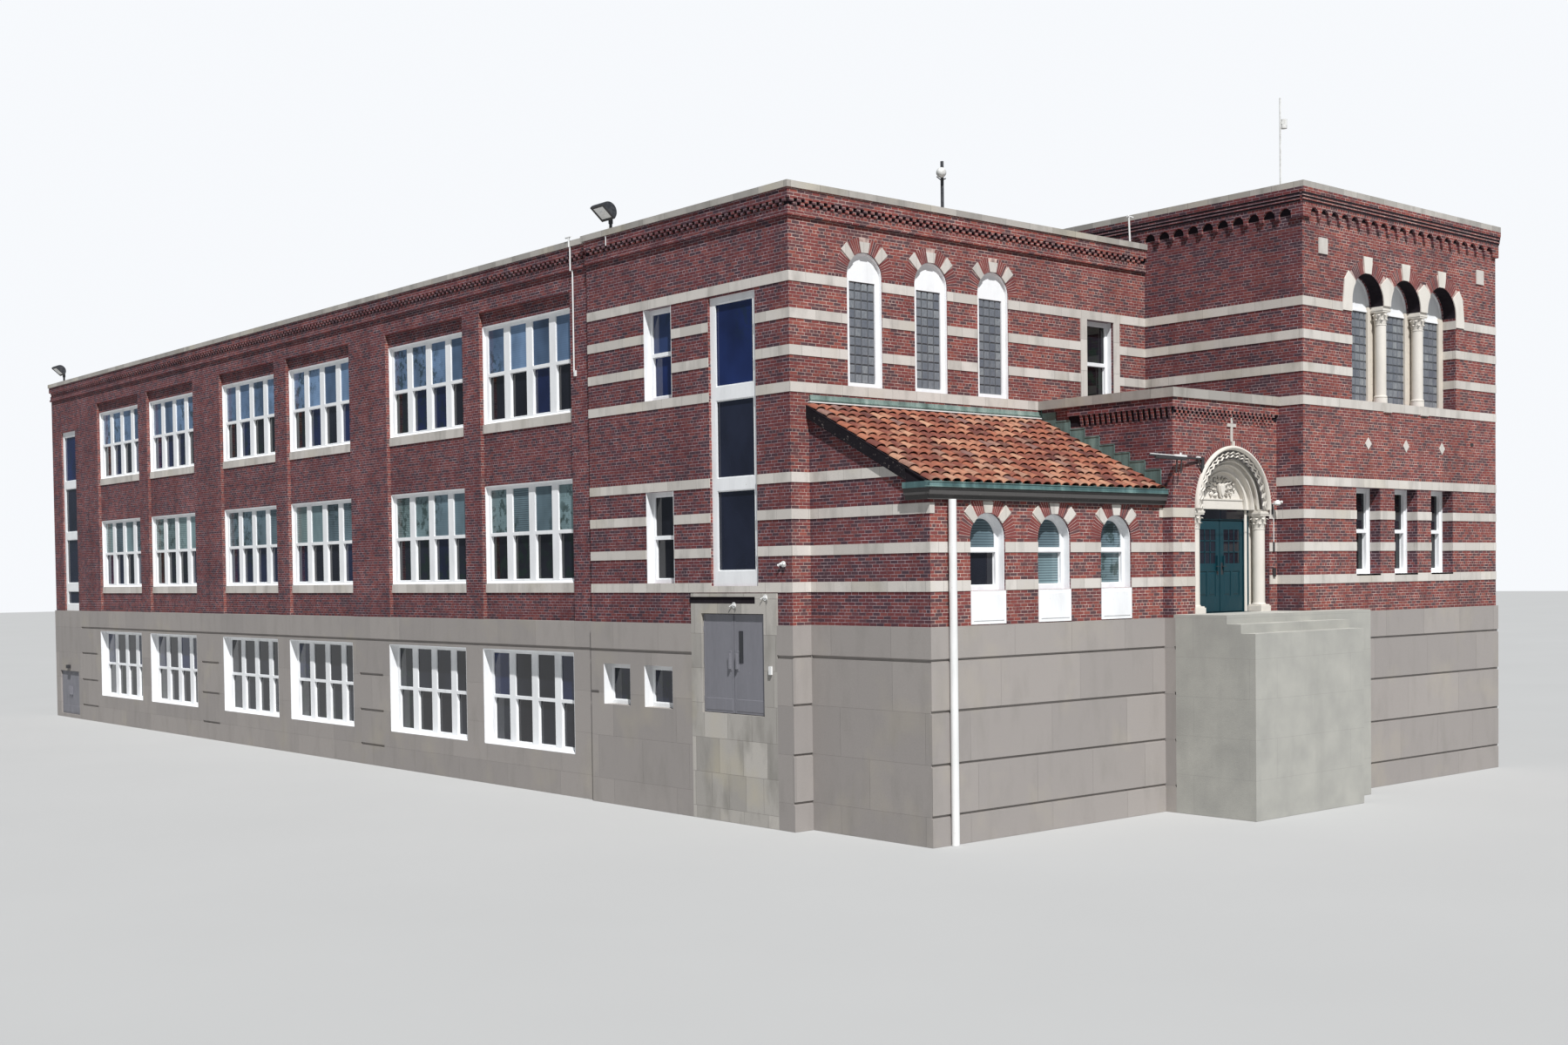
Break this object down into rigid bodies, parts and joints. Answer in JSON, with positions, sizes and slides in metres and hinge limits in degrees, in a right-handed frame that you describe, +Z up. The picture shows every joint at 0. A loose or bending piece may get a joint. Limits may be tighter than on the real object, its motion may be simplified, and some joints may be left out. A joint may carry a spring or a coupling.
{
  "type": "school building scale model",
  "caption": "Brick school building with a square entrance tower, a round-arched stone portal, a tile-roofed lean-to and a long wing of classroom windows, as a half-size model.",
  "frame": {"origin": "foot of the front left corner of the main block, on the ground", "axes": "+Z up, front faces -Y, the long classroom side faces -X"},
  "size_m": [10.25, 25.45, 7.9898],
  "materials": {
    "brick": "rough mixed red brick with pale joints",
    "limestone": "smooth cut buff stone",
    "base_stone": "smooth grey-tan stone",
    "concrete": "worn cast concrete",
    "roofing": "flat grey roofing",
    "white_frame": "white window frames",
    "pane": "clear window glass",
    "glass_block": "wavy blue-grey glass block",
    "clay_tile": "orange clay barrel tiles",
    "green_copper": "green weathered copper",
    "beige_paint": "beige painted wood",
    "dark_board": "dark peeling painted wood",
    "teal_door": "satin teal paint",
    "grey_door": "satin grey paint",
    "white_metal": "white painted metal"
  },
  "bodies": {
    "building": {"basement_floor": "concrete", "ground_floor": "concrete", "upper_floor": "concrete", "roof_deck": "roofing", "base_side_walls": "base_stone", "base_end_walls": "base_stone", "pavilion_wall": "brick", "side_walls": "brick", "end_walls": "brick", "stone_copings": "limestone", "stone_trim": "limestone", "left_windows": "white_frame", "rear_windows": "white_frame", "front_windows": "white_frame", "tower_windows": "white_frame", "window_glass": "pane", "glass_blocks": "glass_block", "side_door_surround": "limestone", "far_door_surround": "base_stone", "entrance_base": "base_stone", "entrance_piers": "brick", "entrance_wall": "brick", "portal_jambs": "limestone", "portal_arch": "limestone", "portal_columns": "limestone", "entrance_frame": "teal_door", "landing_steps": "concrete", "leanto_base": "base_stone", "leanto_walls": "brick", "leanto_roof": "clay_tile", "rake_board": "dark_board", "eave_moulding": "beige_paint", "gutter": "green_copper", "downspout": "white_metal", "tower_base": "base_stone", "tower_front": "brick", "tower_sides": "brick", "tower_top": "brick", "tower_arches": "limestone", "tower_columns": "limestone", "tower_posts": "limestone", "roof_fixtures": "white_metal"},
    "side_door_left": {"side_door_left": "grey_door"},
    "side_door_right": {"side_door_right": "grey_door"},
    "far_door_left": {"far_door_left": "grey_door"},
    "far_door_right": {"far_door_right": "grey_door"},
    "entrance_door_left": {"entrance_door_left": "teal_door"},
    "entrance_door_right": {"entrance_door_right": "teal_door"}
  },
  "joints": [
    {"name": "side_door_left_hinge", "type": "hinge", "parent": "building", "child": "side_door_left", "pos_m": [0.008, 1.478, 1.6934], "axis": [0, 0, 1], "range_deg": [-90, 0]},
    {"name": "side_door_right_hinge", "type": "hinge", "parent": "building", "child": "side_door_right", "pos_m": [0.008, 0.446, 1.6934], "axis": [0, 0, 1], "range_deg": [0, 90]},
    {"name": "far_door_left_hinge", "type": "hinge", "parent": "building", "child": "far_door_left", "pos_m": [0.058, 22.289, 0.4741], "axis": [0, 0, 1], "range_deg": [-90, 0]},
    {"name": "far_door_right_hinge", "type": "hinge", "parent": "building", "child": "far_door_right", "pos_m": [0.058, 21.251, 0.4741], "axis": [0, 0, 1], "range_deg": [0, 90]},
    {"name": "entrance_door_left_hinge", "type": "hinge", "parent": "building", "child": "entrance_door_left", "pos_m": [4.456, -1.665, 2.6416], "axis": [0, 0, 1], "range_deg": [-90, 0]},
    {"name": "entrance_door_right_hinge", "type": "hinge", "parent": "building", "child": "entrance_door_right", "pos_m": [5.344, -1.665, 2.6416], "axis": [0, 0, 1], "range_deg": [0, 90]}
  ]
}
